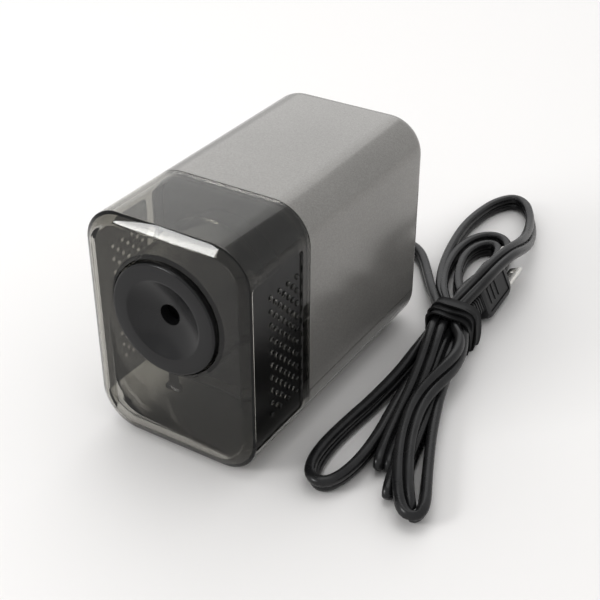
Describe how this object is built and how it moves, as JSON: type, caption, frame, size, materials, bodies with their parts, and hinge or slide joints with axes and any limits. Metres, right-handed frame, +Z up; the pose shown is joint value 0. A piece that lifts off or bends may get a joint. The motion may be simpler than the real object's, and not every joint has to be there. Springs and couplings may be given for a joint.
{
  "type": "electric pencil sharpener",
  "caption": "Desktop electric pencil sharpener: rounded silver housing, smoked slide-off shavings receptacle, dished round pencil guide, folded flat cord with plug.",
  "frame": {"origin": "on the surface it stands on, below the centre of the housing and receptacle", "axes": "+X to the sharpener's right seen from its front, +Y to its back along the pencil, +Z up"},
  "size_m": [0.1437, 0.2735, 0.104],
  "materials": {
    "silver_paint": "satin warm silver metallic paint on moulded plastic",
    "smoked_plastic": "polished smoked clear moulding",
    "black_plastic": "satin black moulding",
    "rubber": "matt black",
    "steel": "bright turned steel",
    "nylon": "natural white nylon",
    "die_cast": "die-cast, matt grey",
    "bronze": "sintered bronze and brass",
    "lamination": "stacked electrical steel, dark blued",
    "copper_wire": "enamelled copper wire in a taped coil",
    "cord_jacket": "satin black vinyl jacket",
    "tie_strap": "dull black flat strap",
    "plug_plastic": "satin black moulding",
    "plug_blades": "bright brass"
  },
  "bodies": {
    "housing": {"base_screw_1": "steel", "base_screw_2": "steel", "base_screw_3": "steel", "base_screw_4": "steel", "base_tray": "silver_paint", "carrier_bush": "bronze", "cord_hank": "cord_jacket", "cord_lead": "cord_jacket", "cord_tie": "tie_strap", "foot_front_left": "rubber", "foot_front_right": "rubber", "foot_rear_left": "rubber", "foot_rear_right": "rubber", "frame_pillar_1": "bronze", "frame_pillar_2": "bronze", "frame_pillar_3": "bronze", "front_frame": "black_plastic", "gear_plate": "steel", "idler_pin": "steel", "interlock_switch": "black_plastic", "motor_coil": "copper_wire", "motor_front_bridge": "die_cast", "motor_front_bush": "bronze", "motor_rear_bridge": "die_cast", "motor_rear_bush": "bronze", "motor_screw_1": "steel", "motor_screw_2": "steel", "motor_spacer_1": "bronze", "motor_spacer_2": "bronze", "motor_stator": "lamination", "pencil_guide": "black_plastic", "plug_blade_lower": "plug_blades", "plug_blade_upper": "plug_blades", "plug_body": "plug_plastic", "rear_housing": "silver_paint", "ring_gear": "nylon", "start_switch": "black_plastic", "strain_relief": "rubber", "thermal_cutout": "black_plastic"},
    "carrier": {"cutter_carrier": "die_cast", "cutter_axle": "steel", "drive_gear": "nylon", "carrier_clip": "steel"},
    "cutter": {"helical_cutter": "steel", "cutter_pinion": "steel"},
    "idler": {"idler_gear": "nylon"},
    "rotor": {"motor_rotor": "lamination", "motor_shaft": "steel", "motor_pinion": "steel", "motor_fan": "black_plastic"},
    "receptacle": {"receptacle": "smoked_plastic"},
    "start_plunger": {"start_plunger": "nylon"},
    "start_lever": {"start_lever": "steel"},
    "interlock_plunger": {"interlock_plunger": "nylon"}
  },
  "joints": [
    {"name": "receptacle_slide", "type": "slide", "parent": "housing", "child": "receptacle", "axis": [0, -1, 0], "range_m": [0, 0.05]},
    {"name": "carrier_spin", "type": "hinge", "parent": "housing", "child": "carrier", "pos_m": [0, 0, 0.066], "axis": [0, 1, 0], "continuous": true},
    {"name": "cutter_spin", "type": "hinge", "parent": "carrier", "child": "cutter", "pos_m": [0.0091, -0.05925, 0.066], "axis": [-0.1685, 0.9857, 0], "continuous": true},
    {"name": "idler_spin", "type": "hinge", "parent": "housing", "child": "idler", "pos_m": [-0.014, 0, 0.04775], "axis": [0, 1, 0], "continuous": true},
    {"name": "motor_spin", "type": "hinge", "parent": "housing", "child": "rotor", "pos_m": [0.004, 0, 0.0351], "axis": [0, 1, 0], "continuous": true},
    {"name": "start_plunger_slide", "type": "slide", "parent": "housing", "child": "start_plunger", "axis": [0, 1, 0], "range_m": [0, 0.002], "stiffness_N_per_m": 200, "springref_m": -0.001},
    {"name": "start_lever_hinge", "type": "hinge", "parent": "housing", "child": "start_lever", "pos_m": [0, -0.0028, 0.092], "axis": [1, 0, 0], "range_deg": [0, 4.5]},
    {"name": "interlock_slide", "type": "slide", "parent": "housing", "child": "interlock_plunger", "axis": [0, -1, 0], "range_m": [0, 0.0022]}
  ],
  "couplings": [
    {"joint": "cutter_spin", "follows": "carrier_spin", "ratio": -3.1667},
    {"joint": "idler_spin", "follows": "carrier_spin", "ratio": -2.8333},
    {"joint": "motor_spin", "follows": "carrier_spin", "ratio": 12.75},
    {"joint": "start_lever_hinge", "follows": "start_plunger_slide", "rad_per_m": 38.5},
    {"joint": "interlock_slide", "follows": "receptacle_slide", "ratio": 0.044}
  ]
}
